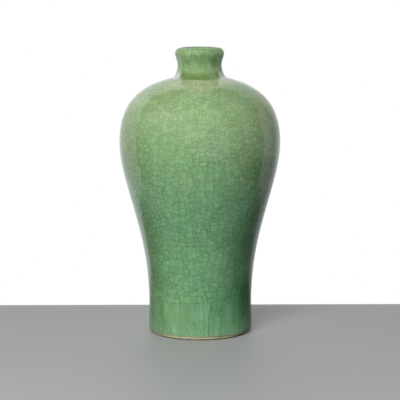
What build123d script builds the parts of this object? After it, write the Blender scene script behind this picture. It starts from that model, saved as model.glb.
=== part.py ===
from build123d import *
import math
import os

# A meiping vase: three thrown clay sections, luted with slip at two bevelled joints, under coats
# of glaze outside, inside and in the foot's recess. Millimetres, +Z up, origin under the foot.

# Outside of the body, on the glaze. Each rise is counted from the station below it.
foot_diameter = 91.3
foot_lean = 1.2  # degrees that the wall leans in above the foot
glaze_edge_height = 3.5
waist_diameter = 90.3
waist_rise = 21.5
calf_diameter = 101.7
calf_rise = 55.0
flank_diameter = 128.0
flank_rise = 50.0
belly_diameter = 140.8
belly_rise = 37.1
shoulder_diameter = 122.4
shoulder_rise = 34.9
crown_diameter = 79.2
crown_rise = 16.8
root_rise = 5.85
shoulder_slope = 18.0  # degrees from level where the shoulder meets the neck

# Neck and lip, on the glaze
neck_diameter = 38.7
neck_flare = 2.9
neck_lean = 24.5  # degrees that the neck leans in above its root
neck_root_radius = 3.0
neck_waist_rise = 9.95
lip_rise = 15.4
lip_overhang = 2.25
lip_inner_radius = 3.15
lip_undercut = 15.0  # degrees under the lip's widest ring where its round begins

# Coats of glaze and clay walls
glaze_thickness = 0.9
inner_glaze_thickness = 0.5
base_glaze_thickness = 0.6
wall_at_foot = 7.0
wall_at_neck = 4.5
neck_wall = 4.75

# Foot ring, recess and floor
foot_ring_width = 8.5
foot_bevel = 1.4
recess_depth = 6.0
recess_corner_radius = 2.0
base_glaze_edge = 2.6
floor_thickness = 8.0
floor_corner_radius = 16.0

# Luted joints between the thrown sections
luting_thickness = 0.8
body_joint_height = 112.0
body_joint_slope = 30.0  # degrees; the lower section's rim is highest inside
neck_seat_slope = 42.0  # degrees; the shoulder's seat opens upwards

# Heights above the table
waist_height = glaze_edge_height + waist_rise
calf_height = waist_height + calf_rise
flank_height = calf_height + flank_rise
belly_height = flank_height + belly_rise
shoulder_height = belly_height + shoulder_rise
crown_height = shoulder_height + crown_rise
root_height = crown_height + root_rise
neck_waist_height = root_height + neck_waist_rise
height = neck_waist_height + lip_rise
ceiling_height = recess_depth + base_glaze_thickness
floor_height = ceiling_height + floor_thickness

# Radii of the neck, the lip and the foot
root_radius = neck_diameter / 2 + neck_flare
throat_radius = neck_diameter / 2 - glaze_thickness - neck_wall - inner_glaze_thickness
lip_crown_radius = throat_radius + lip_inner_radius
lip_roll_radius = neck_diameter / 2 + lip_overhang - lip_crown_radius
clay_foot_radius = foot_diameter / 2 - glaze_thickness
recess_radius = clay_foot_radius - foot_ring_width


def direction(angle):
    """Unit vector in the profile plane, at an angle in degrees from the outward radius."""
    return Vector(math.cos(math.radians(angle)), math.sin(math.radians(angle)))


# Directions of travel up the outside: off the foot, into the neck's root and out of it
foot_direction = direction(90 + foot_lean)
shoulder_direction = direction(180 - shoulder_slope)
neck_direction = direction(90 + neck_lean)

# The root's fillet touches the shoulder and the neck at equal reach from their corner
root_corner = Vector(root_radius, root_height)
root_reach = neck_root_radius * math.tan(math.radians(90 - shoulder_slope - neck_lean) / 2)
root_start = root_corner - shoulder_direction * root_reach
root_end = root_corner + neck_direction * root_reach

# Stations of the body's outline, and the curve of the glaze through them
foot_stations = [
    Vector(foot_diameter / 2, glaze_edge_height),
    Vector(waist_diameter / 2, waist_height),
]
wall_stations = [
    Vector(calf_diameter / 2, calf_height),
    Vector(flank_diameter / 2, flank_height),
    Vector(belly_diameter / 2, belly_height),
    Vector(shoulder_diameter / 2, shoulder_height),
    Vector(crown_diameter / 2, crown_height),
    root_start,
]
glaze_outline = Spline(*foot_stations, *wall_stations, tangents=[foot_direction, shoulder_direction])


def sunk(station, depth):
    """The point that lies depth under a station of the glaze, square to its surface."""
    travel = glaze_outline.tangent_at(glaze_outline.param_at_point(station))
    return station + travel.rotate(Axis.Z, 90) * depth


def wall_thickness(station):
    """Clay wall at a station: it thins evenly from the waist to the neck."""
    share = (station.Y - waist_height) / (root_height - waist_height)
    return wall_at_foot + (wall_at_neck - wall_at_foot) * share


def throat_end(depth, coat):
    """Where the lip's inner round meets the throat: depth is under the glaze, coat over the clay."""
    radius = throat_radius + inner_glaze_thickness - coat
    return Vector(radius, height - depth - (lip_crown_radius - radius))


def draw_outside(depth, coat):
    """Draws the outside from the glaze's lower edge over the lip, sunk under the glaze by depth."""
    stations = [sunk(station, depth) for station in foot_stations + wall_stations]
    body = Spline(*stations, tangents=[foot_direction, shoulder_direction])
    neck_start = root_end + neck_direction.rotate(Axis.Z, 90) * depth
    root = TangentArc(body @ 1, neck_start, tangent=body % 1)
    lip_centre = Vector(lip_crown_radius, height - lip_roll_radius)
    lip_start = lip_centre + direction(-lip_undercut) * (lip_roll_radius - depth)
    neck_waist = Vector(neck_diameter / 2 - depth, neck_waist_height)
    lip_direction = direction(90 - lip_undercut)
    flare = Spline(root @ 1, neck_waist, lip_start, tangents=[neck_direction, lip_direction])
    lip = TangentArc(flare @ 1, (lip_crown_radius, height - depth), tangent=lip_direction)
    TangentArc(lip @ 1, throat_end(depth, coat), tangent=(-1, 0))


def draw_inside(coat, depth):
    """Draws the inside from the axis over the floor and up the throat, raised over the clay by coat."""
    wall_radius = waist_diameter / 2 - glaze_thickness - wall_at_foot - coat
    corner_radius = floor_corner_radius - coat
    floor = Line((0, floor_height + coat), (wall_radius - corner_radius, floor_height + coat))
    wall_foot = (wall_radius, floor_height + floor_corner_radius)
    corner = TangentArc(floor @ 1, wall_foot, tangent=(1, 0))
    stations = [
        sunk(station, glaze_thickness + wall_thickness(station) + coat) for station in wall_stations
    ]
    wall = Spline(corner @ 1, *stations, tangents=[(0, 1), shoulder_direction])
    throat_top = throat_end(depth, coat)
    turn_rise = (stations[-1].X - throat_top.X) * math.tan(math.radians(90 + shoulder_slope) / 2)
    turn = TangentArc(wall @ 1, (throat_top.X, stations[-1].Y + turn_rise), tangent=shoulder_direction)
    Line(turn @ 1, throat_top)


def draw_recess(coat, lower_edge):
    """Draws the foot's recess from its wall to the axis, lowered under the clay by coat."""
    FilletPolyline(
        (recess_radius - coat, lower_edge),
        (recess_radius - coat, ceiling_height - coat),
        (0, ceiling_height - coat),
        radius=recess_corner_radius - coat,
    )


def draw_slice(lower_edge, upper_edge):
    """Draws the region of the half-plane between two joint faces."""
    Polyline(*lower_edge, *reversed(upper_edge), close=True)


def joint_face(centre, slope, offset):
    """Two ends of a joint's face, from the axis out past the belly, moved up by an offset."""
    reach = belly_diameter
    lift = offset / math.cos(math.radians(slope))
    rise = math.tan(math.radians(slope))
    return [(radius, centre.Y + lift + (radius - centre.X) * rise) for radius in (0, reach)]


# Faces of the joints, half a thickness of slip to each side of the middle
joint_level = Axis((0, body_joint_height, 0), (1, 0, 0))
body_joint_centre = glaze_outline.find_intersection_points(joint_level)[0]
rim_face = joint_face(body_joint_centre, -body_joint_slope, -luting_thickness / 2)
skirt_face = joint_face(body_joint_centre, -body_joint_slope, luting_thickness / 2)
seat_face = joint_face(root_corner, neck_seat_slope, -luting_thickness / 2)
neck_face = joint_face(root_corner, neck_seat_slope, luting_thickness / 2)
below_all = [(0, -height), (belly_diameter, -height)]
above_all = [(0, 3 * height), (belly_diameter, 3 * height)]

# Section through all the clay, before it is cut at the joints
clay_edge = sunk(foot_stations[0], glaze_thickness)
with BuildSketch() as clay_section:
    with BuildLine():
        draw_outside(glaze_thickness, 0)
        draw_inside(0, glaze_thickness)
        draw_recess(0, foot_bevel)
        Line((0, ceiling_height), (0, floor_height))
        Polyline(
            clay_edge,
            (clay_edge.X, foot_bevel),
            (clay_edge.X - foot_bevel, 0),
            (recess_radius + foot_bevel, 0),
            (recess_radius, foot_bevel),
        )
    make_face()

# Lower body: foot ring, floor and the wall up to the body joint's rim
with BuildPart() as lower_body:
    with BuildSketch(Plane.XZ):
        add(clay_section.sketch)
        with BuildLine():
            draw_slice(below_all, rim_face)
        make_face(mode=Mode.INTERSECT)
    revolve(axis=Axis.Z)

# Slip in the body joint
with BuildPart() as body_luting:
    with BuildSketch(Plane.XZ):
        add(clay_section.sketch)
        with BuildLine():
            draw_slice(rim_face, skirt_face)
        make_face(mode=Mode.INTERSECT)
    revolve(axis=Axis.Z)

# Shoulder body: from the body joint's skirt to the neck's seat
with BuildPart() as shoulder_body:
    with BuildSketch(Plane.XZ):
        add(clay_section.sketch)
        with BuildLine():
            draw_slice(skirt_face, seat_face)
        make_face(mode=Mode.INTERSECT)
    revolve(axis=Axis.Z)

# Slip in the neck's seat
with BuildPart() as neck_luting:
    with BuildSketch(Plane.XZ):
        add(clay_section.sketch)
        with BuildLine():
            draw_slice(seat_face, neck_face)
        make_face(mode=Mode.INTERSECT)
    revolve(axis=Axis.Z)

# Neck and lip
with BuildPart() as neck:
    with BuildSketch(Plane.XZ):
        add(clay_section.sketch)
        with BuildLine():
            draw_slice(neck_face, above_all)
        make_face(mode=Mode.INTERSECT)
    revolve(axis=Axis.Z)

# Outer glaze: from its rolled lower edge over the lip to the throat
with BuildPart() as outer_glaze:
    with BuildSketch(Plane.XZ):
        with BuildLine():
            draw_outside(0, inner_glaze_thickness)
            draw_outside(glaze_thickness, 0)
            Line(throat_end(0, inner_glaze_thickness), throat_end(glaze_thickness, 0))
            RadiusArc(foot_stations[0], clay_edge, radius=glaze_thickness)
        make_face()
    revolve(axis=Axis.Z)

# Inner glaze: throat, walls and floor
with BuildPart() as inner_glaze:
    with BuildSketch(Plane.XZ):
        with BuildLine():
            draw_inside(0, glaze_thickness)
            draw_inside(inner_glaze_thickness, 0)
            Line(throat_end(0, inner_glaze_thickness), throat_end(glaze_thickness, 0))
            Line((0, floor_height), (0, floor_height + inner_glaze_thickness))
        make_face()
    revolve(axis=Axis.Z)

# Base glaze: ceiling of the recess, and its wall down to the bare rim
with BuildPart() as base_glaze:
    with BuildSketch(Plane.XZ):
        with BuildLine():
            draw_recess(0, base_glaze_edge)
            draw_recess(base_glaze_thickness, base_glaze_edge)
            Line((recess_radius - base_glaze_thickness, base_glaze_edge), (recess_radius, base_glaze_edge))
            Line((0, ceiling_height - base_glaze_thickness), (0, ceiling_height))
        make_face()
    revolve(axis=Axis.Z)

pieces = {
    "lower_body": lower_body,
    "body_luting": body_luting,
    "shoulder_body": shoulder_body,
    "neck_luting": neck_luting,
    "neck": neck,
    "outer_glaze": outer_glaze,
    "inner_glaze": inner_glaze,
    "base_glaze": base_glaze,
}
os.makedirs("parts", exist_ok=True)
for name, piece in pieces.items():
    piece.part.label = name
    export_step(piece.part, f"parts/{name}.step")

print(f"height {height:.2f} mm, throat radius {throat_radius:.2f} mm")
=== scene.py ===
import math
import random

import bpy
import numpy as np
from mathutils import Matrix, Vector, kdtree
from mathutils.geometry import delaunay_2d_cdt


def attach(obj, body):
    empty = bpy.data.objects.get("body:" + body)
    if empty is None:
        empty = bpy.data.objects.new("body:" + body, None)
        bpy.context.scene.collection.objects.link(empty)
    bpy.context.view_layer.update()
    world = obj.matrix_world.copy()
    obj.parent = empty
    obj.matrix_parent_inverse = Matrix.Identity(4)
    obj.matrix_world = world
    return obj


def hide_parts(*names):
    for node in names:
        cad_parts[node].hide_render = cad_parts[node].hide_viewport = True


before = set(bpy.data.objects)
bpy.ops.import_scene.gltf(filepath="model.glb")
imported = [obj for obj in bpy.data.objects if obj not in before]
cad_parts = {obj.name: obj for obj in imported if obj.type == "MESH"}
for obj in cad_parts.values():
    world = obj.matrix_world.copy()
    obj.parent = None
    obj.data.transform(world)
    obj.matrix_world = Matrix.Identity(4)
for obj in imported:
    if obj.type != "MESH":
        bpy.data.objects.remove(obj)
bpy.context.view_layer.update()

# A meiping vase under a crackled green glaze. Lengths are metres, written in millimetres times MM.
# +Z is up and -Y faces the viewer. An outline is a list of (radius, height) points.

MM = 0.001
FULL_TURN = 2 * math.pi

# Outside of the glaze: diameter and height of its stations, and the angles of its ends in degrees
BODY_STATIONS = [
    (91.3, 3.5), (90.3, 25.0), (101.7, 80.0), (128.0, 130.0), (140.8, 167.1), (122.4, 202.0), (79.2, 218.8),
]
FOOT_LEAN = 1.2
SHOULDER_SLOPE = 18.0
NECK_LEAN = 24.5
LIP_UNDERCUT = 15.0

# Neck and lip
NECK_ROOT = np.array([22.25, 224.65]) * MM
NECK_ROOT_RADIUS = 3.0 * MM
NECK_WAIST = np.array([19.35, 234.6]) * MM
HEIGHT = 250.0 * MM
LIP_CROWN_RADIUS = 16.35 * MM
LIP_ROLL_RADIUS = 5.25 * MM
THROAT_RADIUS = 13.2 * MM

# Coats of glaze, clay walls, foot ring and floor
COAT = 0.9 * MM
LINING = 0.5 * MM
BASE_COAT = 0.6 * MM
WALL_AT_FOOT = 7.0 * MM
WALL_AT_NECK = 4.5 * MM
FOOT_RING_WIDTH = 8.5 * MM
FOOT_BEVEL = 1.4 * MM
FOOT_WEAR = 0.25 * MM
CEILING = 6.6 * MM
RECESS_CORNER = 2.0 * MM
BASE_COAT_EDGE = 2.6 * MM
BASE_COAT_DRIP = 0.2 * MM
FLOOR = 14.6 * MM
FLOOR_CORNER = 16.0 * MM

# Joint between the lower body and the shoulder body: height on the glaze, slope, half the slip
JOINT_HEIGHT = 112.0 * MM
JOINT_SLOPE = math.tan(math.radians(-30))
JOINT_HALF = 0.4 * MM / math.cos(math.radians(30))

# Crackle: by height in millimetres, the area of a cell in square millimetres, and the mesh's steps in
# millimetres along the cracks and between them
CELL_AREAS = [(30, 34), (60, 32), (130, 26), (175, 18), (200, 13), (225, 10), (250, 9)]
POINT_STEPS = [(0, 1.9), (170, 1.75), (215, 1.2), (250, 0.95)]
FILL_STEPS = [(0, 2.7), (170, 2.5), (215, 1.7), (250, 1.3)]

# Cells: the sizes, in those areas, below which one stays whole, and the share that a crack cuts off
CELL_SPREAD = (0.8, 1.6)
CELL_HALVES = (0.34, 0.66)
SPLIT_TRIES = 8
CRACK_SEED = 11

# Path of a crack: how far it turns level or upright, its tilt in radians, its way off the middle as a
# share of the cell's reach, its kinks in cells, its bow in kinks and its tremble in millimetres
CRACK_LEVELLING = 0.58
CRACK_TILT = 0.2
CRACK_OFF_MIDDLE = 0.2
CRACK_KINK = 0.17
CRACK_BOW = 0.3
CRACK_TREMBLE = 0.12

# Groove of a crack, the share of its width that the faintest has, and the strengths of stains
CRACK_HALF_WIDTH = 0.72 * MM
FAINT_WIDTH = 0.65
GROOVE_DEPTH = 0.05 * MM
CRACK_STRENGTHS = (0.44, 0.7)
CROSSING_STRENGTH = 0.5

# The seam up the back is a crack too, and above the foot a ring crack ends the uprights
SEAM_SWAY = 0.06
SEAM_STRENGTH = 0.6
FOOT_BAND = 31.0 * MM
RING_KINK = 0.22
RING_STRENGTH = 0.45
UPRIGHT_SPACING = (2.2 * MM, 5.2 * MM)
UPRIGHT_LEAN = 0.015
UPRIGHT_KINK = 0.12
UPRIGHT_STRENGTHS = (0.45, 0.95)

# Mesh of the coat: points round its ends, clearances as shares of a groove or a step, and its margin
EDGE_POINTS = 192
BANK_CLEARANCE = 0.8
FILL_CLEARANCE = 0.48
FILL_JITTER = 0.18
FILL_ROW = 0.87
COAT_MARGIN = 0.2 * MM

# The coat's unrolled map: where its outside starts, what it takes, and the strip for its inner skin
MAP_START = (0.02, 0.07)
MAP_SIZE = (0.96, 0.92)
SKIN_MAP = 0.05

# Lower edge of the glaze: it reaches down to EDGE_LOW, rises in waves, thins out and rolls under
EDGE_LOW = 1.5 * MM
EDGE_WAVE = 2.0 * MM
EDGE_FADE = 13.0 * MM
EDGE_EASE = 3.0 * MM
EDGE_THINNING = 0.4 * MM
EDGE_THIN_REACH = 2.4 * MM
EDGE_ROLL_ANGLES = (30, 75, 120, 160)
EDGE_ROLL_DROP = 0.42


# Outlines

def direction(angle):
    """Unit vector at an angle in degrees from the outward radius."""
    return np.array([math.cos(math.radians(angle)), math.sin(math.radians(angle))])


def arc(centre, radius, start, end, step):
    """Points on an arc between two angles in degrees."""
    count = max(3, int(abs(math.radians(end - start)) * radius / step) + 2)
    return np.array([centre + radius * direction(angle) for angle in np.linspace(start, end, count)])


def spline_slopes(points, start, end):
    """Chord lengths and slopes at the points of a cubic spline with set end directions."""
    knots = np.concatenate([[0], np.cumsum(np.linalg.norm(np.diff(points, axis=0), axis=1))])
    spans = np.diff(knots)
    matrix = np.eye(len(points))
    target = np.zeros((len(points), 2))
    target[0] = start
    target[-1] = end
    for i in range(1, len(points) - 1):
        before, after = spans[i - 1], spans[i]
        matrix[i, i - 1:i + 2] = after, 2 * (before + after), before
        arriving = after / before * (points[i] - points[i - 1])
        leaving = before / after * (points[i + 1] - points[i])
        target[i] = 3 * (arriving + leaving)
    return knots, np.linalg.solve(matrix, target)


def spline(points, start, end, step):
    """Points along a cubic spline through the given points, by chord length."""
    points = np.array(points)
    knots, slopes = spline_slopes(points, start, end)
    pieces = []
    for i in range(len(points) - 1):
        span = knots[i + 1] - knots[i]
        share = np.linspace(0, 1, int(span / step) + 2)[:, None]
        lead = share ** 2 * (3 - 2 * share)
        bend_in = share * (1 - share) ** 2 * span
        bend_out = share ** 2 * (share - 1) * span
        eased = (1 - lead) * points[i] + lead * points[i + 1]
        pieces.append(eased + bend_in * slopes[i] + bend_out * slopes[i + 1])
    return joined(*pieces)


def joined(*runs):
    """One outline of several runs, without the doubled points where they meet."""
    points = np.concatenate(runs)
    apart = np.linalg.norm(np.diff(points, axis=0), axis=1) > 1e-7
    return points[np.concatenate([[True], apart])]


def radius_at(outline, height):
    """Radius of an outline at heights below its crown."""
    rising = outline[:outline[:, 1].argmax()]
    return np.interp(height, rising[:, 1], rising[:, 0])


foot_direction = direction(90 + FOOT_LEAN)
shoulder_direction = direction(180 - SHOULDER_SLOPE)
neck_direction = direction(90 + NECK_LEAN)
lip_direction = direction(90 - LIP_UNDERCUT)
root_reach = NECK_ROOT_RADIUS * math.tan(math.radians(90 - SHOULDER_SLOPE - NECK_LEAN) / 2)
root_start = NECK_ROOT - shoulder_direction * root_reach
stations_below = [(diameter / 2 * MM, height * MM) for diameter, height in BODY_STATIONS]
body_stations = np.array(stations_below + [root_start])
body_slopes = spline_slopes(body_stations, foot_direction, shoulder_direction)[1]
body_inward = np.array([(-slope[1], slope[0]) / np.linalg.norm(slope) for slope in body_slopes])
waist_height = body_stations[1][1]
wall_shares = (body_stations[:, 1] - waist_height) / (NECK_ROOT[1] - waist_height)
wall_thicknesses = WALL_AT_FOOT + (WALL_AT_NECK - WALL_AT_FOOT) * wall_shares
clay_foot_radius = body_stations[0][0] - COAT
recess_radius = clay_foot_radius - FOOT_RING_WIDTH


def throat_end(depth, coat):
    """Where the lip's inner round meets the throat."""
    radius = THROAT_RADIUS + LINING - coat
    return np.array([radius, HEIGHT - depth - (LIP_CROWN_RADIUS - radius)])


def outside(depth, coat, step):
    """The outside from the glaze's lower edge over the lip to the throat, sunk by depth."""
    body = spline(body_stations + body_inward * depth, foot_direction, shoulder_direction, step)
    root_centre = root_start + NECK_ROOT_RADIUS * direction(90 - SHOULDER_SLOPE)
    root = arc(root_centre, NECK_ROOT_RADIUS + depth, 270 - SHOULDER_SLOPE, 180 + NECK_LEAN, step)
    lip_centre = np.array([LIP_CROWN_RADIUS, HEIGHT - LIP_ROLL_RADIUS])
    lip = arc(lip_centre, LIP_ROLL_RADIUS - depth, -LIP_UNDERCUT, 90, step)
    waist = NECK_WAIST - (depth, 0)
    neck = spline([root[-1], waist, lip[0]], neck_direction, lip_direction, step)
    end = throat_end(depth, coat)
    inner_radius = LIP_CROWN_RADIUS - end[0]
    inner_lip = arc(np.array([LIP_CROWN_RADIUS, end[1]]), inner_radius, 90, 180, step)
    return joined(body, root, neck, lip, inner_lip)


def inside(coat, depth, step):
    """The inside from the axis over the floor and up the throat, raised over the clay by coat."""
    wall_radius = body_stations[1][0] - COAT - WALL_AT_FOOT - coat
    corner_radius = FLOOR_CORNER - coat
    corner_centre = np.array([wall_radius - corner_radius, FLOOR + FLOOR_CORNER])
    corner = arc(corner_centre, corner_radius, -90, 0, step)
    floor = spline([(0, corner[0][1]), corner[0]], (1, 0), (1, 0), step)
    stations = (body_stations + body_inward * (COAT + coat + wall_thicknesses)[:, None])[2:]
    wall = spline([corner[-1], *stations], (0, 1), shoulder_direction, step)
    end = throat_end(depth, coat)
    turn_rise = (stations[-1][0] - end[0]) * math.tan(math.radians(90 + SHOULDER_SLOPE) / 2)
    turn_radius = (stations[-1][0] - end[0]) / (1 - math.sin(math.radians(SHOULDER_SLOPE)))
    turn_centre = np.array([end[0] + turn_radius, stations[-1][1] + turn_rise])
    turn = arc(turn_centre, turn_radius, 270 - SHOULDER_SLOPE, 180, step)
    throat = spline([turn[-1], end], (0, 1), (0, 1), step)
    return joined(floor, corner, wall, turn, throat)


def recess(coat, lower_edge, step):
    """The foot's recess from its wall to the axis, lowered under the clay by coat."""
    wall_radius = recess_radius - coat
    corner_radius = RECESS_CORNER - coat
    corner_centre = np.array([wall_radius - corner_radius, CEILING - RECESS_CORNER])
    corner = arc(corner_centre, corner_radius, 0, 90, step / 3)
    wall = spline([(wall_radius, lower_edge), corner[0]], (0, 1), (0, 1), step)
    ceiling = spline([corner[-1], (0, corner[-1][1])], (-1, 0), (-1, 0), step)
    return joined(wall, corner, ceiling)


# Crackle coat

class TurnedSurface:
    """A turned surface, unrolled to turn and rise: a small square there is square on the surface too."""

    def __init__(self, outline):
        self.outline = outline
        steps = np.linalg.norm(np.diff(outline, axis=0), axis=1)
        self.rises = np.concatenate([[0], np.cumsum(steps * 2 / (outline[1:, 0] + outline[:-1, 0]))])
        tangents = np.gradient(outline, self.rises, axis=0)
        tangents /= np.linalg.norm(tangents, axis=1)[:, None]
        self.normals = np.stack([tangents[:, 1], -tangents[:, 0]], axis=1)

    def radius(self, rise):
        return np.interp(rise, self.rises, self.outline[:, 0])

    def height(self, rise):
        return np.interp(rise, self.rises, self.outline[:, 1])

    def by_height(self, table, rise):
        """A value from a table that goes by heights in millimetres, at a rise."""
        heights, values = zip(*table)
        return np.interp(self.height(rise) / MM, heights, values)

    def place(self, turn, rise, lift):
        """Points in space at a turn and rise, lifted off the surface."""
        radius = self.radius(rise) + lift * np.interp(rise, self.rises, self.normals[:, 0])
        height = self.height(rise) + lift * np.interp(rise, self.rises, self.normals[:, 1])
        return np.stack([radius * np.sin(turn), -radius * np.cos(turn), height], axis=-1)


def crack_across(shape, draw):
    """The two corners of a cell that a crack joins: it crosses the cell's length near the middle."""
    centre = shape.mean(axis=0)
    spread = shape - centre
    vectors = np.linalg.eigh(spread.T @ spread)[1]
    along = vectors[:, 1]
    length = np.abs(spread @ along).max()
    angle = math.atan2(along[1], along[0]) + math.pi / 2
    level = round(angle / (math.pi / 2)) * math.pi / 2
    angle += CRACK_LEVELLING * (level - angle) + draw.gauss(0, CRACK_TILT)
    across = np.array([math.cos(angle), math.sin(angle)])
    pivot = centre + along * length * draw.uniform(-CRACK_OFF_MIDDLE, CRACK_OFF_MIDDLE)
    offset = shape - pivot
    side = across[0] * offset[:, 1] - across[1] * offset[:, 0]
    reach = offset @ across
    following = np.roll(np.arange(len(shape)), -1)
    crossing = np.nonzero((side > 0) != (side[following] > 0))[0]
    ahead = [i for i in crossing if reach[i] + reach[following[i]] > 0]
    behind = [i for i in crossing if reach[i] + reach[following[i]] <= 0]
    if not ahead or not behind:
        return None
    ends = []
    for i in (min(ahead, key=lambda k: reach[k]), max(behind, key=lambda k: reach[k])):
        ends.append(i if abs(side[i]) < abs(side[following[i]]) else following[i])
    return sorted(int(end) for end in ends)


def ring_area(shape):
    """Area of a ring of points in turn and rise."""
    after = np.roll(shape, -1, axis=0)
    return abs((shape[:, 0] * after[:, 1] - after[:, 0] * shape[:, 1]).sum()) / 2


class Crackle:
    """The net of cracks in the coat, in turn and rise: points, and cracks that run along them."""

    def __init__(self, surface, seed):
        self.surface = surface
        self.draw = random.Random(seed)
        self.points = []
        self.cracks = []
        self.outer_ring = self.begin()
        self.split_cells(self.crack_foot())

    def add(self, points):
        """Adds points and returns their numbers."""
        first = len(self.points)
        self.points.extend((float(turn), float(rise)) for turn, rise in points)
        return list(range(first, len(self.points)))

    def begin(self):
        """Draws the edge of the unrolled coat. Its sides are one crack, which runs up the back."""
        top = self.surface.rises[-1]
        rises = [0.0]
        while rises[-1] < top:
            step = self.surface.by_height(POINT_STEPS, rises[-1]) * MM
            rises.append(rises[-1] + step / self.surface.radius(rises[-1]))
        rises = np.array(rises) * top / rises[-1]
        self.side_rises = rises
        sway = np.sin(4.1 * rises) + 0.6 * np.sin(9.7 * rises + 1)
        self.side_sway = SEAM_SWAY * np.sin(math.pi * rises / top) * sway
        turns = np.linspace(-math.pi, math.pi, EDGE_POINTS + 1)
        self.foot = self.add((turn, 0) for turn in turns)
        self.throat = self.add((turn, top) for turn in turns)
        sides = []
        for end, turn in ((0, -math.pi), (EDGE_POINTS, math.pi)):
            inner = self.add(zip(turn + self.side_sway[1:-1], rises[1:-1]))
            sides.append([self.foot[end]] + inner + [self.throat[end]])
            self.cracks.append((sides[-1], SEAM_STRENGTH))
        self.sides = sides
        self.twins = dict(zip(sides[1], sides[0]))
        return self.foot + sides[1][1:-1] + self.throat[::-1] + sides[0][-2:0:-1]

    def crack_foot(self):
        """Cracks a ring above the foot and uprights below it, and returns the ring of all above."""
        left, right = self.sides
        level = int(np.abs(self.surface.height(self.side_rises) - FOOT_BAND).argmin())
        start, end = (np.array(self.points[side[level]]) for side in (left, right))
        band = self.add(self.crooked(start, end, RING_KINK))
        self.cracks.append(([left[level]] + band + [right[level]], RING_STRENGTH))
        tops = np.array([self.points[i] for i in band])
        step = FULL_TURN * self.surface.radius(0) / EDGE_POINTS
        place = round(self.draw.uniform(*UPRIGHT_SPACING) / step)
        while place < EDGE_POINTS - 2:
            foot = np.array(self.points[self.foot[place]])
            lean = self.draw.gauss(0, UPRIGHT_LEAN)
            top = int(np.abs(tops[:, 0] - foot[0] - lean).argmin())
            upright = self.add(self.crooked(foot, tops[top], UPRIGHT_KINK))
            strength = self.draw.uniform(*UPRIGHT_STRENGTHS)
            self.cracks.append(([self.foot[place]] + upright + [band[top]], strength))
            place += round(self.draw.uniform(*UPRIGHT_SPACING) / step)
        above = right[level:-1] + self.throat[::-1] + left[-2:level - 1:-1]
        return above + band

    def split_cells(self, first_ring):
        """Cracks each cell in two until every cell is small enough."""
        waiting = [first_ring]
        while waiting:
            ring = waiting.pop()
            shape = np.array([self.points[i] for i in ring])
            centre_rise = shape[:, 1].mean()
            scale = self.surface.radius(centre_rise) / MM
            size = ring_area(shape) * scale ** 2 / self.surface.by_height(CELL_AREAS, centre_rise)
            if size < self.draw.uniform(*CELL_SPREAD):
                continue
            waiting.extend(self.split(ring, shape))

    def split(self, ring, shape):
        """Cracks one cell and returns its two halves, or nothing where no crack fits."""
        whole = ring_area(shape)
        least, most = CELL_HALVES
        for _ in range(SPLIT_TRIES):
            ends = crack_across(shape, self.draw)
            if ends is None or ends[1] - ends[0] < 2:
                continue
            first, last = ends
            share = ring_area(shape[first:last + 1]) / whole
            if least < share < most:
                break
        else:
            return []
        path = self.add(self.crooked(shape[first], shape[last], CRACK_KINK))
        strength = self.draw.uniform(*CRACK_STRENGTHS)
        self.cracks.append(([ring[first]] + path + [ring[last]], strength))
        return [ring[first:last + 1] + path[::-1], ring[last:] + ring[:first + 1] + path]

    def crooked(self, start, end, kink):
        """Points between the ends of a crack, with a kink at about each cell that it passes."""
        middle = (start[1] + end[1]) / 2
        radius = self.surface.radius(middle)
        run = end - start
        length = np.linalg.norm(run) * radius
        aside = np.array([-run[1], run[0]]) / np.linalg.norm(run) / radius
        cell = math.sqrt(self.surface.by_height(CELL_AREAS, middle)) * MM
        kinks = max(1, int(round(length / cell)))
        sway = [0.0] + [self.draw.gauss(0, kink) * cell for _ in range(kinks - 1)] + [0.0]
        bow = self.draw.gauss(0, CRACK_BOW * kink) * min(length, 2 * cell)
        count = int(round(length / (self.surface.by_height(POINT_STEPS, middle) * MM)))
        points = []
        for i in range(1, count):
            share = i / count
            jog = np.interp(share * kinks, range(kinks + 1), sway) + bow * math.sin(math.pi * share)
            jog += self.draw.gauss(0, CRACK_TREMBLE) * MM
            points.append(start + run * share + aside * jog)
        return points


def crack_samples(crackle):
    """Points in space every third of a millimetre or so along all cracks."""
    samples = []
    for ids, _ in crackle.cracks:
        line = np.array([crackle.points[i] for i in ids])
        for share in np.linspace(0, 1, 5)[:-1]:
            samples.append(line[:-1] * (1 - share) + line[1:] * share)
    samples = np.concatenate(samples)
    return crackle.surface.place(samples[:, 0], samples[:, 1], 0)


def search_tree(points):
    """A tree for finding the nearest of some points."""
    tree = kdtree.KDTree(len(points))
    for i, point in enumerate(points):
        tree.insert(point, i)
    tree.balance()
    return tree


def crack_banks(crackle, tree):
    """Points along both sides of each crack, where its groove ends."""
    surface = crackle.surface
    banks = []
    for ids, strength in crackle.cracks:
        line = np.array([crackle.points[i] for i in ids])
        along = np.gradient(line, axis=0)
        along /= np.linalg.norm(along, axis=1)[:, None]
        half = CRACK_HALF_WIDTH * (FAINT_WIDTH + (1 - FAINT_WIDTH) * strength)
        reach = half / surface.radius(line[:, 1])
        for side in (1, -1):
            bank = line + side * reach[:, None] * np.stack([-along[:, 1], along[:, 0]], axis=1)
            places = surface.place(bank[:, 0], bank[:, 1], 0)
            clear = [tree.find(place)[2] > BANK_CLEARANCE * half for place in places]
            banks.extend(bank[clear])
    return keep_on_coat(crackle, np.array(banks))


def keep_on_coat(crackle, points):
    """Drops points that lie off the edges of the unrolled coat."""
    sway = np.interp(points[:, 1], crackle.side_rises, crackle.side_sway)
    margin = COAT_MARGIN / crackle.surface.radius(points[:, 1])
    within = np.abs(points[:, 0] - sway) < math.pi - margin
    within &= (points[:, 1] > margin) & (points[:, 1] < crackle.surface.rises[-1] - margin)
    return points[within]


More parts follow.
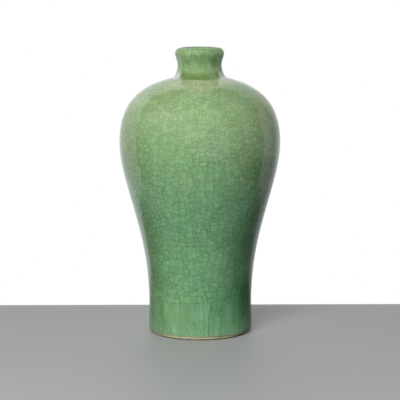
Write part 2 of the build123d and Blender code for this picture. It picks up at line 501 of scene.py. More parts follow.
def cell_filling(crackle, tree):
    """Points in rows between the cracks, clear of their banks."""
    surface = crackle.surface
    scatter = np.random.default_rng(CRACK_SEED)
    rows = []
    rise = 0.0
    while rise < surface.rises[-1]:
        step = surface.by_height(FILL_STEPS, rise) * MM / surface.radius(rise)
        count = int(FULL_TURN / step)
        turns = (np.arange(count) + 0.5 * (len(rows) % 2)) / count * FULL_TURN - math.pi
        jitter = scatter.uniform(-FILL_JITTER, FILL_JITTER, (count, 2)) * step
        rows.append(np.stack([turns, np.full(count, rise)], axis=1) + jitter)
        rise += step * FILL_ROW
    points = keep_on_coat(crackle, np.concatenate(rows))
    places = surface.place(points[:, 0], points[:, 1], 0)
    clear = surface.by_height(FILL_STEPS, points[:, 1]) * MM * FILL_CLEARANCE
    return points[[tree.find(place)[2] > gap for place, gap in zip(places, clear)]]


def edge_wave(turn):
    """Height of the glaze's lower edge over its lowest place, round the foot."""
    swell = 0.5 * np.exp(-(turn / 0.7) ** 2) + 0.13 * np.sin(2 * turn + 2.0) + 0.09 * np.sin(5 * turn + 0.7)
    ripple = 0.07 * np.sin(11 * turn + 1.9) + 0.06 * np.sin(17 * turn)
    return EDGE_WAVE * np.clip(0.6 + swell + ripple, 0, 1)


def unevenness(turn, height):
    """How far the hand-thrown surface lies off its true outline, always inwards."""
    oval = np.sin(2 * turn + 0.8) * np.sin(height / (70 * MM) + 0.5)
    swell = np.sin(3 * turn - height / (30 * MM)) * np.sin(height / (45 * MM))
    rings = np.sin(FULL_TURN * height / (8.5 * MM) + 0.9 * np.sin(turn + 1))
    return -(0.12 + 0.05 * oval + 0.035 * swell + 0.025 * rings) * MM


def cell_numbers(faces, barriers):
    """A number for each face, the same all over a cell that cracks enclose."""
    owners = {}
    for number, face in enumerate(faces):
        for i, corner in enumerate(face):
            pair = (face[i - 1], corner) if face[i - 1] < corner else (corner, face[i - 1])
            if pair not in barriers:
                owners.setdefault(pair, []).append(number)
    beside = [[] for _ in faces]
    for pair in owners.values():
        if len(pair) == 2:
            beside[pair[0]].append(pair[1])
            beside[pair[1]].append(pair[0])
    numbers = [-1] * len(faces)
    cells = 0
    for start in range(len(faces)):
        if numbers[start] >= 0:
            continue
        numbers[start] = cells
        waiting = [start]
        while waiting:
            for other in beside[waiting.pop()]:
                if numbers[other] < 0:
                    numbers[other] = cells
                    waiting.append(other)
        cells += 1
    return np.array(numbers)


def rolled_backing(surface):
    """Rings of the skin against the clay, from the rolled lower edge up to the throat."""
    turns = np.linspace(-math.pi, math.pi, EDGE_POINTS + 1)[:-1]
    edge_height = EDGE_LOW + edge_wave(turns)
    edge_radius = radius_at(surface.outline, edge_height) - EDGE_THINNING
    thickness = COAT - EDGE_THINNING
    rings = []
    for angle in EDGE_ROLL_ANGLES:
        radius = edge_radius - thickness / 2 * (1 - math.cos(math.radians(angle)))
        height = edge_height - EDGE_ROLL_DROP * thickness * math.sin(math.radians(angle))
        rings.append(np.stack([radius * np.sin(turns), -radius * np.cos(turns), height], axis=1))
    backing = TurnedSurface(outside(COAT, 0, 5 * MM))
    for level in backing.rises[1:]:
        rings.append(backing.place(turns, np.full(EDGE_POINTS, level), 0))
    return rings


def skin_between(rows):
    """Faces between rows of point numbers, and their corners in the unrolled map."""
    faces = []
    corners = []
    for level in range(len(rows) - 1):
        low, high = (SKIN_MAP * (level + i) / len(rows) for i in (0, 1))
        for k in range(EDGE_POINTS):
            after = (k + 1) % EDGE_POINTS
            faces.append((rows[level][after], rows[level][k], rows[level + 1][k], rows[level + 1][after]))
            left, right = k / EDGE_POINTS, (k + 1) / EDGE_POINTS
            corners += [(right, low), (left, low), (left, high), (right, high)]
    return faces, corners


def store(mesh, name, domain, *values):
    """Stores a value for each point or face of a mesh under a name."""
    stored_values = np.concatenate(values).astype(np.float32)
    mesh.attributes.new(name, "FLOAT", domain).data.foreach_set("value", stored_values)


def make_crackle_coat():
    """The outer glaze: a closed skin with a groove along every crack and a rolled lower edge."""
    outline = outside(0, LINING, 0.5 * MM)
    low_point = outline[0] + foot_direction * (EDGE_LOW - outline[0][1]) / foot_direction[1]
    surface = TurnedSurface(np.concatenate([[low_point], outline]))
    crackle = Crackle(surface, CRACK_SEED)
    samples = crack_samples(crackle)
    banks = crack_banks(crackle, search_tree(samples))
    lines = surface.place(banks[:, 0], banks[:, 1], 0)
    filling = cell_filling(crackle, search_tree(np.concatenate([samples, lines])))

    crack_edges = [pair for ids, _ in crackle.cracks for pair in zip(ids, ids[1:])]
    end_edges = [pair for ids in (crackle.foot, crackle.throat) for pair in zip(ids, ids[1:])]
    flat = np.concatenate([np.array(crackle.points), banks, filling])
    corners = [Vector(point) for point in flat]
    found = delaunay_2d_cdt(corners, crack_edges + end_edges, [crackle.outer_ring], 1, 1e-7)
    places, faces, sources = np.array(found[0]), found[2], found[3]

    # Each found point takes its stain from the cracks through it, and the back's sides become one
    stains = np.zeros(len(flat))
    for ids, strength in crackle.cracks:
        stains[ids] = np.maximum(stains[ids], strength)
    stain = np.array([max((stains[i] for i in group), default=CROSSING_STRENGTH) for group in sources])
    number_of = {source: number for number, group in enumerate(sources) for source in group}
    welded = np.arange(len(places))
    for side, twin in crackle.twins.items():
        welded[number_of[side]] = number_of[twin]
    kept, welded = np.unique(welded, return_inverse=True)
    barriers = {tuple(sorted((number_of[start], number_of[end]))) for start, end in crack_edges}

    # The lower edge rises in waves, and the surface sinks by its unevenness, its grooves and its thin edge
    turn, flat_rise = places[:, 0], places[:, 1]
    waving = np.clip(1 - (surface.height(flat_rise) - EDGE_LOW) / EDGE_FADE, 0, 1) ** 2
    rise = flat_rise + edge_wave(turn) * waving / surface.radius(flat_rise)
    from_end = np.minimum(flat_rise, surface.rises[-1] - flat_rise)
    ends = np.clip(from_end * surface.radius(rise) / EDGE_EASE, 0, 1)
    thin = np.clip(1 - flat_rise * surface.radius(flat_rise) / EDGE_THIN_REACH, 0, 1)
    lift = unevenness(turn, surface.height(rise)) * ends - GROOVE_DEPTH * stain * ends
    outer = surface.place(turn, rise, lift - EDGE_THINNING * thin)

    rings = rolled_backing(surface)
    backs = len(rings) * EDGE_POINTS
    numbers = np.arange(len(kept), len(kept) + backs).reshape(-1, EDGE_POINTS).tolist()
    foot, throat = ([int(welded[number_of[i]]) for i in ids[:-1]] for ids in (crackle.foot, crackle.throat))
    skin, skin_map = skin_between([foot] + numbers + [throat])

    mesh = bpy.data.meshes.new("crackle_coat")
    front = [[int(welded[i]) for i in face] for face in faces]
    mesh.from_pydata(np.concatenate([outer[kept]] + rings).tolist(), [], front + skin)
    store(mesh, "stain", "POINT", stain[kept], np.zeros(backs))
    store(mesh, "thin_edge", "POINT", thin[kept], np.ones(backs))
    cells = cell_numbers(faces, barriers)
    tones = np.random.default_rng(CRACK_SEED).uniform(0, 1, cells.max() + 1)
    store(mesh, "cell_tone", "FACE", tones[cells], np.full(len(skin), 0.5))
    shares = np.stack([turn / FULL_TURN + 0.5, flat_rise / surface.rises[-1]], axis=1)
    front_map = (MAP_START + np.array(MAP_SIZE) * shares)[np.concatenate(faces)]
    unrolled = np.concatenate([front_map, skin_map]).astype(np.float32)
    mesh.uv_layers.new(name="OFBake").data.foreach_set("uv", unrolled.ravel())
    mesh.shade_smooth()
    mesh.validate()
    return placed("crackle_coat", mesh)


def placed(name, data):
    """A new object in the scene."""
    made = bpy.data.objects.new(name, data)
    bpy.context.scene.collection.objects.link(made)
    return made


# Node trees

def node(tree, kind, inputs=None, **settings):
    """Adds a node, sets its options, and links or sets its inputs."""
    made = tree.nodes.new(kind)
    for name, value in settings.items():
        setattr(made, name, value)
    for key, value in (inputs or {}).items():
        if isinstance(value, bpy.types.NodeSocket):
            tree.links.new(value, made.inputs[key])
        else:
            made.inputs[key].default_value = value
    return made


def sums(tree, operation, first, second=0.0):
    """A sum of two values, or another operation on them."""
    return node(tree, "ShaderNodeMath", {0: first, 1: second}, operation=operation).outputs[0]


def product(tree, first, second):
    """Two values multiplied."""
    return sums(tree, "MULTIPLY", first, second)


def measured(tree, operation, first, second=(0, 0, 0)):
    """A length, a distance or another number that is measured on vectors."""
    inputs = {0: first, 1: second}
    return node(tree, "ShaderNodeVectorMath", inputs, operation=operation).outputs["Value"]


def scaled(tree, vector, factor):
    """A vector or colour times a number."""
    inputs = {0: vector, "Scale": factor}
    return node(tree, "ShaderNodeVectorMath", inputs, operation="SCALE").outputs[0]


def fade(tree, value, low, high, start=0.0, end=1.0):
    """A smooth step from start to end as a value goes from low to high."""
    inputs = {"Value": value, "From Min": low, "From Max": high, "To Min": start, "To Max": end}
    return node(tree, "ShaderNodeMapRange", inputs, interpolation_type="SMOOTHSTEP").outputs[0]


def height_fade(tree, height, low, high, start=0.0, end=1.0):
    """A smooth step between two heights in millimetres."""
    return fade(tree, height, low * MM, high * MM, start, end)


def height_band(tree, height, bottom, top, share=1.0):
    """A band that fades in from the bottom up and from the top down, by pairs of heights in millimetres."""
    return product(tree, height_fade(tree, height, *bottom), height_fade(tree, height, *top, 0, share))


def choice(tree, share, first, second):
    """A mix of two numbers."""
    return node(tree, "ShaderNodeMix", {0: share, 2: first, 3: second}, data_type="FLOAT").outputs[0]


def blend(tree, share, first, second):
    """A mix of two colours."""
    return node(tree, "ShaderNodeMix", {0: share, 6: first, 7: second}, data_type="RGBA").outputs[2]


def noise(tree, point, scale, detail=2.0, roughness=0.5):
    """Smooth noise around one half, with features of about one over scale in metres."""
    inputs = {"Vector": point, "Scale": scale, "Detail": detail, "Roughness": roughness}
    return node(tree, "ShaderNodeTexNoise", inputs).outputs[0]


def stored(tree, name):
    """A value that the piece's mesh stores under a name."""
    return node(tree, "ShaderNodeAttribute", attribute_name=name).outputs["Fac"]


def colour(red, green, blue):
    """An opaque colour in linear light."""
    return (red, green, blue, 1.0)


# Turned pieces

def turned_tree():
    """A node tree that turns a profile's points round the axis, with a spiral of throwing rings."""
    tree = bpy.data.node_groups.new("turned_piece", "GeometryNodeTree")
    tree.interface.new_socket("Piece", in_out="OUTPUT", socket_type="NodeSocketGeometry")
    for name, kind in (
        ("Profile", "Geometry"), ("Segments", "Int"), ("Seed", "Int"), ("Ring Spacing", "Float"),
        ("Ring Depth", "Float"), ("Unevenness", "Float"), ("Finish", "Material"),
    ):
        tree.interface.new_socket(name, in_out="INPUT", socket_type="NodeSocket" + kind)
    given = node(tree, "NodeGroupInput").outputs

    # A grid with a column for each segment and a row for each point, bent round the axis and closed
    size = node(tree, "GeometryNodeAttributeDomainSize", {0: given["Profile"]}, component="MESH")
    count = size.outputs["Point Count"]
    columns = sums(tree, "ADD", given["Segments"], 1)
    grid = node(tree, "GeometryNodeMeshGrid", {"Vertices X": columns, "Vertices Y": count}).outputs
    inputs = {"Geometry": grid["Mesh"], "Name": "OFBake", "Value": grid["UV Map"]}
    unrolled = node(
        tree, "GeometryNodeStoreNamedAttribute", inputs, data_type="FLOAT2", domain="CORNER",
    ).outputs[0]
    index = node(tree, "GeometryNodeInputIndex").outputs[0]
    column = sums(tree, "FLOOR", sums(tree, "DIVIDE", index, count))
    row = sums(tree, "MODULO", index, count)
    place = node(tree, "GeometryNodeInputPosition").outputs[0]
    inputs = {"Geometry": given["Profile"], "Value": place, "Index": row}
    point = node(tree, "GeometryNodeSampleIndex", inputs, data_type="FLOAT_VECTOR").outputs[0]
    profile = node(tree, "ShaderNodeSeparateXYZ", {0: point}).outputs
    angle = product(tree, sums(tree, "DIVIDE", column, given["Segments"]), FULL_TURN)
    across = product(tree, profile["X"], sums(tree, "SINE", angle))
    away = product(tree, product(tree, profile["X"], sums(tree, "COSINE", angle)), -1)
    spun = node(tree, "ShaderNodeCombineXYZ", {0: across, 1: away, 2: profile["Z"]}).outputs[0]
    inputs = {"Geometry": unrolled, "Position": spun}
    turned = node(tree, "GeometryNodeSetPosition", inputs).outputs[0]
    inputs = {"Geometry": turned, "Distance": 1e-6}
    closed = node(tree, "GeometryNodeMergeByDistance", inputs).outputs[0]

    # One ring each Ring Spacing along the profile, drawn out into a spiral, and a slow unevenness
    now = node(tree, "ShaderNodeSeparateXYZ", {0: place}).outputs
    squares = sums(tree, "ADD", sums(tree, "POWER", now["X"], 2), sums(tree, "POWER", now["Y"], 2))
    passed = sums(tree, "ADD", now["Z"], sums(tree, "POWER", squares, 0.5))
    along = product(tree, sums(tree, "DIVIDE", passed, given["Ring Spacing"]), FULL_TURN)
    spiral = sums(tree, "ADD", along, sums(tree, "ARCTAN2", now["X"], now["Y"]))
    ridge = sums(tree, "ADD", sums(tree, "SINE", spiral), 1)
    ring = product(tree, ridge, product(tree, given["Ring Depth"], 0.5))
    inputs = {"Vector": place, "W": given["Seed"], "Scale": 60.0, "Detail": 3.0}
    slow = node(tree, "ShaderNodeTexNoise", inputs, noise_dimensions="4D").outputs[0]
    sunk = sums(tree, "ADD", ring, product(tree, slow, given["Unevenness"]))
    normal = node(tree, "GeometryNodeInputNormal").outputs[0]
    inputs = {"Geometry": closed, "Offset": scaled(tree, normal, product(tree, sunk, -1))}
    thrown = node(tree, "GeometryNodeSetPosition", inputs).outputs[0]
    smooth = node(tree, "GeometryNodeSetShadeSmooth", {"Geometry": thrown}).outputs[0]
    real = node(tree, "GeometryNodeRealizeInstances", {"Geometry": smooth}).outputs[0]
    inputs = {"Geometry": real, "Material": given["Finish"]}
    node(tree, "NodeGroupOutput", {"Piece": node(tree, "GeometryNodeSetMaterial", inputs).outputs[0]})
    return tree


def turned_piece(tree, name, profile, finish, **sizes):
    """A piece turned from a profile by the node tree, as a plain mesh."""
    mesh = bpy.data.meshes.new(name)
    mesh.from_pydata([(radius, 0, height) for radius, height in profile], [], [])
    piece = placed(name, mesh)
    turning = piece.modifiers.new("turning", "NODES")
    turning.node_group = tree
    sockets = {item.name: item.identifier for item in tree.interface.items_tree if item.in_out == "INPUT"}
    turning[sockets["Finish"]] = finish
    for size, value in sizes.items():
        turning[sockets[size.replace("_", " ").title()]] = value
    made = bpy.data.meshes.new_from_object(piece.evaluated_get(bpy.context.evaluated_depsgraph_get()))
    piece.modifiers.clear()
    piece.data = made
    made.name = name
    return piece


def softened(corners, reach):
    """An outline whose inner corners are cut short, so that they shade as worn edges."""
    points = [corners[0]]
    for before, corner, after in zip(corners, corners[1:], corners[2:]):
        for other in (before, after):
            run = other - corner
            points.append(corner + run / np.linalg.norm(run) * min(reach, np.linalg.norm(run) / 3))
    return np.array(points + [corners[-1]])


def lower_body_profile():
    """The lower body from its floor over the joint's rim, down the outside and round the foot ring."""
    joint_radius = radius_at(outside(0, LINING, MM), JOINT_HEIGHT)

    def below_joint(points):
        rim = JOINT_HEIGHT - JOINT_HALF + (points[:, 0] - joint_radius) * JOINT_SLOPE
        return points[points[:, 1] < rim]

    wall_inside = below_joint(inside(0, COAT, 3 * MM))
    wall_outside = below_joint(outside(COAT, 0, 3 * MM))[::-1]
    edge = wall_outside[-1]
    foot = softened(np.array([
        edge,
        (edge[0], FOOT_BEVEL),
        (edge[0] - FOOT_BEVEL, 0),
        (recess_radius + FOOT_BEVEL, 0),
        (recess_radius, FOOT_BEVEL),
        (recess_radius, BASE_COAT_EDGE),
    ]), FOOT_WEAR)
    fine_foot = []
    for start, end in zip(foot, foot[1:]):
        count = max(1, int(np.linalg.norm(end - start) / (0.6 * MM)))
        fine_foot += [start + (end - start) * i / count for i in range(count)]
    return joined(wall_inside, wall_outside, np.array(fine_foot), recess(0, BASE_COAT_EDGE, 2 * MM))


# Finishes

SEA_GREEN = colour(0.205, 0.445, 0.215)
LEAF_GREEN = colour(0.315, 0.475, 0.225)
OLIVE = colour(0.30, 0.36, 0.12)
# Pale green: the glaze's pale mottling, and painted highlight and reflection where the clouds use it on the
# lit belly, the upper right and the foot
PALE_GREEN_AND_HIGHLIGHT = colour(0.42, 0.56, 0.37)
FOAM_GREEN = colour(0.28, 0.53, 0.31)
# Olive of the pool of thick glaze, darkened as painted shade in the neck's concave root
POOL_OLIVE_AND_SHADE = colour(0.165, 0.255, 0.065)
# Straw green: a yellower glaze over the shoulder's top, laid on as painted reflection of the backdrop there
# too
STRAW_AND_REFLECTION = colour(0.56, 0.64, 0.37)
# Near white painted as highlights on both sides of the neck's root
ROOT_HIGHLIGHT = colour(0.78, 0.84, 0.72)
# Deep green: the glaze's own dark streaks over the foot, and painted shade under the lip and right of the
# middle where the clouds use it
DEEP_GREEN_AND_SHADE = colour(0.10, 0.25, 0.15)
# Moss green: blotches on the neck, and painted shade low down the left edge where the clouds use it
MOSS_AND_SHADE = colour(0.13, 0.26, 0.08)
LIME = colour(0.38, 0.53, 0.21)
ICE_GREEN = colour(0.31, 0.54, 0.40)
# Bright green painted as light and reflection along the vase's left and right edges
PAINTED_EDGE_LIGHT = colour(0.30, 0.70, 0.42)
# Dark green painted as shade on the vase's shadowed right side
PAINTED_SHADE_GREEN = colour(0.015, 0.18, 0.035)
CRACK_STAIN = colour(0.035, 0.10, 0.05)
THIN_BROWN = colour(0.36, 0.34, 0.24)
BUFF = colour(0.62, 0.66, 0.37)
TOAST = colour(0.17, 0.11, 0.05)
SLIP_CREAM = colour(0.58, 0.55, 0.35)

# Glaze: its refraction, how far its change of tint drifts, and the middles of its pool, darkened as painted
# shade, and of the painted highlights beside it
GLAZE_IOR = 1.46
TINT_DRIFT = 70 * MM
POOL_PLACE = (-6 * MM, -22 * MM, 227.5 * MM)
ROOT_HIGHLIGHT_PLACE = (0, -22 * MM, 226.5 * MM)

# Clouds in the glaze, some of them patches of painted shade, painted highlight and painted reflection: turn
# to the right in degrees, height and reach in millimetres, colour and share
CLOUD_RAGGEDNESS = 22 * MM
CLOUDS_AND_PAINTED_LIGHT = [
    (-64, 158, 30, OLIVE, 0.32),
    (-30, 207, 22, OLIVE, 0.35),
    (58, 196, 26, OLIVE, 0.4),
    # Painted highlight on the lit upper belly
    (-28, 196, 24, PALE_GREEN_AND_HIGHLIGHT, 0.3),
    (6, 172, 26, PALE_GREEN_AND_HIGHLIGHT, 0.3),
    # Painted shade under the lip's overhang
    (32, 241, 9, DEEP_GREEN_AND_SHADE, 0.45),
    (-14, 241, 6, DEEP_GREEN_AND_SHADE, 0.3),
    # Yellower glaze and painted reflection of the backdrop on the shoulder's top
    (-4, 220, 22, STRAW_AND_REFLECTION, 0.85),
    (-36, 220, 20, STRAW_AND_REFLECTION, 0.5),
    (30, 222, 18, STRAW_AND_REFLECTION, 0.8),
    (-66, 205, 20, STRAW_AND_REFLECTION, 0.35),
    (50, 226.5, 6, MOSS_AND_SHADE, 0.75),
    (-52, 226, 5, MOSS_AND_SHADE, 0.45),
    # Painted reflection low on the left side of the foot
    (-72, 9, 13, PALE_GREEN_AND_HIGHLIGHT, 0.5),
    # Painted shade down the left edge of the lower body
    (-63, 90, 34, MOSS_AND_SHADE, 0.78),
    (-60, 110, 20, MOSS_AND_SHADE, 0.5),
    (-65, 54, 34, MOSS_AND_SHADE, 0.7),
    (-66, 18, 26, MOSS_AND_SHADE, 0.35),
    # Painted shade down the shadowed right side
    (62, 84, 46, PAINTED_SHADE_GREEN, 0.82),
    (60, 112, 22, PAINTED_SHADE_GREEN, 0.5),
    (62, 34, 42, PAINTED_SHADE_GREEN, 0.74),
    # Painted reflection low on the right side of the foot
    (58, 8, 11, PALE_GREEN_AND_HIGHLIGHT, 0.55),
    # Painted shade right of the middle
    (34, 104, 46, DEEP_GREEN_AND_SHADE, 0.2),
    (34, 44, 46, DEEP_GREEN_AND_SHADE, 0.2),
    # Painted light and reflection along both edges and up the neck's right edge
    (-78, 122, 34, PAINTED_EDGE_LIGHT, 0.6),
    (-82, 158, 30, PAINTED_EDGE_LIGHT, 0.45),
    (-94, 94, 38, PAINTED_EDGE_LIGHT, 0.95),
    (-94, 62, 32, PAINTED_EDGE_LIGHT, 0.8),
    (92, 94, 34, PAINTED_EDGE_LIGHT, 0.95),
    (92, 62, 28, PAINTED_EDGE_LIGHT, 0.8),
    (92, 125, 32, PAINTED_EDGE_LIGHT, 0.8),
    (84, 240, 10, PAINTED_EDGE_LIGHT, 0.6),
    # Painted light on the upper right belly
    (50, 172, 26, PALE_GREEN_AND_HIGHLIGHT, 0.3),
    (46, 146, 24, MOSS_AND_SHADE, 0.35),
    # Painted light on the right edge
    (80, 152, 34, PAINTED_EDGE_LIGHT, 0.5),
    (-36, 22, 34, LIME, 0.25),
    (3, 24, 12, ICE_GREEN, 0.35),
    (24, 26, 26, DEEP_GREEN_AND_SHADE, 0.28),
    (150, 190, 34, OLIVE, 0.45),
    (-140, 120, 38, PALE_GREEN_AND_HIGHLIGHT, 0.3),
    (110, 90, 40, OLIVE, 0.3),
]


def new_finish(name):
    """A material with its shader, the piece's own coordinates and the height over the foot."""
    finish = bpy.data.materials.new(name)
    finish.use_nodes = True
    tree = finish.node_tree
    point = node(tree, "ShaderNodeTexCoord").outputs["Object"]
    height = node(tree, "ShaderNodeSeparateXYZ", {0: point}).outputs["Z"]
    return finish, tree, tree.nodes["Principled BSDF"], point, height


def stretched(tree, point, across, up):
    """Coordinates for a pattern that is scaled by one factor round the piece and by another upwards."""
    return node(tree, "ShaderNodeMapping", {"Vector": point, "Scale": (across, across, up)}).outputs[0]


def roughened(tree, shader, levels):
    """Gives a shader a bumpy surface from heights and their depths in metres."""
    normal = None
    for level, depth in levels:
        inputs = {"Height": level, "Distance": depth, "Strength": 1.0}
        if normal is not None:
            inputs["Normal"] = normal
        normal = node(tree, "ShaderNodeBump", inputs).outputs[0]
    tree.links.new(normal, shader.inputs["Normal"])


def green_tint(tree, point, height):
    """The glaze's own colour: bluer low down, more yellow over the shoulder, with fine mottling."""
    drift = product(tree, noise(tree, point, 16, 3), TINT_DRIFT)
    level = sums(tree, "ADD", height, sums(tree, "SUBTRACT", drift, TINT_DRIFT / 2))
    tint = blend(tree, height_fade(tree, level, 105, 200), SEA_GREEN, LEAF_GREEN)
    mottle = noise(tree, point, 48, 4, 0.6)
    olive = product(tree, fade(tree, mottle, 0.53, 0.75), height_fade(tree, height, 90, 170, 0.1, 0.35))
    tint = blend(tree, olive, tint, OLIVE)
    pale = product(tree, fade(tree, mottle, 0.47, 0.27), height_fade(tree, height, 90, 170, 0.08, 0.25))
    tint = blend(tree, pale, tint, PALE_GREEN_AND_HIGHLIGHT)
    fleck = fade(tree, noise(tree, point, 130, 3), 0.5, 0.68, 0, 0.3)
    return blend(tree, product(tree, fleck, height_fade(tree, height, 60, 150)), tint, SEA_GREEN)


def with_clouds_and_painted_light(tree, tint, point):
    """A tint with the clouds laid over it, one after another, each with a ragged edge, some of them patches
    of painted shade, painted highlight and painted reflection.
    """
    ragged = product(tree, noise(tree, point, 55, 3), CLOUD_RAGGEDNESS)
    outline = outside(0, LINING, MM)
    for turn, up, reach, cloud_colour, share in CLOUDS_AND_PAINTED_LIGHT:
        radius = outline[np.abs(outline[:, 1] - up * MM).argmin()][0]
        side, front = math.sin(math.radians(turn)), math.cos(math.radians(turn))
        distance = measured(tree, "DISTANCE", point, (radius * side, -radius * front, up * MM))
        edge = sums(tree, "ADD", distance, ragged)
        near = fade(tree, edge, reach * MM + CLOUD_RAGGEDNESS / 2, CLOUD_RAGGEDNESS / 2, 0, share)
        tint = blend(tree, near, tint, cloud_colour)
    return tint


def streaked(tree, tint, point, height):
    """A tint with pale and deep streaks where glaze ran over the foot, and blotches on the neck."""
    streak = noise(tree, stretched(tree, point, 105, 7), 1)
    low = height_fade(tree, height, 44, 24)
    tint = blend(tree, product(tree, fade(tree, streak, 0.5, 0.66, 0, 0.46), low), tint, FOAM_GREEN)
    tint = blend(tree, product(tree, fade(tree, streak, 0.48, 0.32, 0, 0.32), low), tint, DEEP_GREEN_AND_SHADE)
    blotch = noise(tree, stretched(tree, point, 190, 60), 1)
    on_neck = height_band(tree, height, (229, 238), (248, 244))
    return blend(tree, product(tree, fade(tree, blotch, 0.46, 0.62, 0, 0.5), on_neck), tint, MOSS_AND_SHADE)


def pool_shade_and_highlight(tree, tint, point, height):
    """A tint with a pool of thick glaze in the neck's root, darkened there as painted shade, and painted
    highlights on both sides of it.
    """
    beside = measured(tree, "DISTANCE", point, POOL_PLACE)
    # The olive pool, darkened as painted shade in the concave root
    pool_and_shade = height_band(tree, height, (223, 224.2), (232, 225.5), 0.85)
    pool_and_shade = product(tree, pool_and_shade, fade(tree, beside, 28 * MM, 10 * MM, 0.3, 1))
    tint = blend(tree, pool_and_shade, tint, POOL_OLIVE_AND_SHADE)
    # Painted highlights on both sides of the neck's root
    around = measured(tree, "DISTANCE", point, ROOT_HIGHLIGHT_PLACE)
    root_highlight = height_band(tree, height, (222.5, 224.5), (231, 227), 0.85)
    root_highlight = product(tree, root_highlight, fade(tree, around, 16 * MM, 22 * MM))
    root_highlight = product(tree, root_highlight, fade(tree, around, 36 * MM, 27 * MM))
    return blend(tree, root_highlight, tint, ROOT_HIGHLIGHT)


def thinned(tree, tint, point, height):
    """A tint that turns pale over the foot, brown on the lip's crown and buff at the lower edge."""
    tint = blend(tree, height_fade(tree, height, 14, 4, 0, 0.5), tint, FOAM_GREEN)
    axes = node(tree, "ShaderNodeSeparateXYZ", {0: point}).outputs
    flat = node(tree, "ShaderNodeCombineXYZ", {0: axes["X"], 1: axes["Y"]}).outputs[0]
    uneven = product(tree, noise(tree, point, 220), MM)
    radius = sums(tree, "ADD", measured(tree, "LENGTH", flat), uneven)
    crown = fade(tree, radius, 18 * MM, 16.2 * MM, 0, 0.22)
    bared = product(tree, crown, height_fade(tree, height, 243, 246))
    tint = blend(tree, bared, tint, THIN_BROWN)
    return blend(tree, fade(tree, stored(tree, "thin_edge"), 0.2, 1, 0, 0.7), tint, BUFF)


def crackle_glaze():
    """Glossy green glaze whose cracks are stained dark."""
    finish, tree, shader, point, height = new_finish("crackle_glaze")
    tint = with_clouds_and_painted_light(tree, green_tint(tree, point, height), point)
    tint = streaked(tree, tint, point, height)
    tint = pool_shade_and_highlight(tree, tint, point, height)
    tint = thinned(tree, tint, point, height)

    # Cells differ in tone, and fine specks and pale bubbles lie in the glaze
    tone = fade(tree, stored(tree, "cell_tone"), 0, 1, 0.89, 1.07)
    speck = fade(tree, noise(tree, point, 900, 2, 0.6), 0.3, 0.7, -0.05, 0.05)
    bubbles = fade(tree, noise(tree, point, 330, 1), 0.55, 0.72, 0, 0.16)
    bubbles = product(tree, bubbles, height_fade(tree, height, 150, 185, 1, 0.5))
    tint = scaled(tree, tint, sums(tree, "ADD", sums(tree, "ADD", tone, speck), bubbles))

    # The stain follows the cracks: it is patchy, fainter towards the shoulder and broken on the uprights
    patchy = fade(tree, noise(tree, point, 70), 0.3, 0.7, 0.5, 0.95)
    fainter = height_fade(tree, height, 110, 200, 0.98, 0.61)
    broken = fade(tree, noise(tree, stretched(tree, point, 170, 90), 1), 0.4, 0.6, 0.4, 1)
    broken = sums(tree, "MAXIMUM", broken, height_fade(tree, height, 27, 37))
    stain = product(tree, stored(tree, "stain"), broken)
    dark = product(tree, sums(tree, "POWER", stain, 1.2), product(tree, patchy, fainter))
    tree.links.new(blend(tree, dark, tint, CRACK_STAIN), shader.inputs["Base Color"])

    # Cracks are a little duller, and the lip's crown and the foot shine less
    gloss = fade(tree, noise(tree, point, 160, 3), 0.3, 0.7, 0.025, 0.06)
    tree.links.new(sums(tree, "ADD", gloss, product(tree, stain, 0.12)), shader.inputs["Roughness"])
    shader.inputs["IOR"].default_value = GLAZE_IOR
    dry_lip = height_fade(tree, height, 246.5, 249, 0.5, 0.08)
    dry_foot = height_fade(tree, height, 40, 66, 0.06, 0.5)
    tree.links.new(sums(tree, "MINIMUM", dry_lip, dry_foot), shader.inputs["Specular IOR Level"])
    roughened(tree, shader, [(noise(tree, point, 100), 0.05 * MM), (noise(tree, point, 520), 0.008 * MM)])
    return finish


def poured_glaze(name, thinness, crackle_scale):
    """Glaze with finer, fainter crackle, thin enough in places to show the clay's buff."""
    finish, tree, shader, point, height = new_finish(name)
    tint = green_tint(tree, point, height)
    thin = fade(tree, noise(tree, point, 38, 4, 0.6), 0.42, 0.72, 0, thinness)
    tint = blend(tree, thin, tint, BUFF)
    bent = product(tree, noise(tree, point, crackle_scale), 2.5 * MM)
    moved = node(tree, "ShaderNodeVectorMath", {0: point, 1: bent}).outputs[0]
    inputs = {"Vector": moved, "Scale": crackle_scale}
    edge = node(tree, "ShaderNodeTexVoronoi", inputs, feature="DISTANCE_TO_EDGE").outputs["Distance"]
    crack = fade(tree, edge, 0.06, 0.0, 0, 0.6)
    tree.links.new(blend(tree, crack, tint, CRACK_STAIN), shader.inputs["Base Color"])
    gloss = fade(tree, noise(tree, point, 150, 3), 0.3, 0.7, 0.16, 0.28)
    tree.links.new(sums(tree, "ADD", gloss, product(tree, crack, 0.2)), shader.inputs["Roughness"])
    roughened(tree, shader, [(noise(tree, point, 90), 0.25 * MM), (crack, -0.04 * MM)])
    return finish


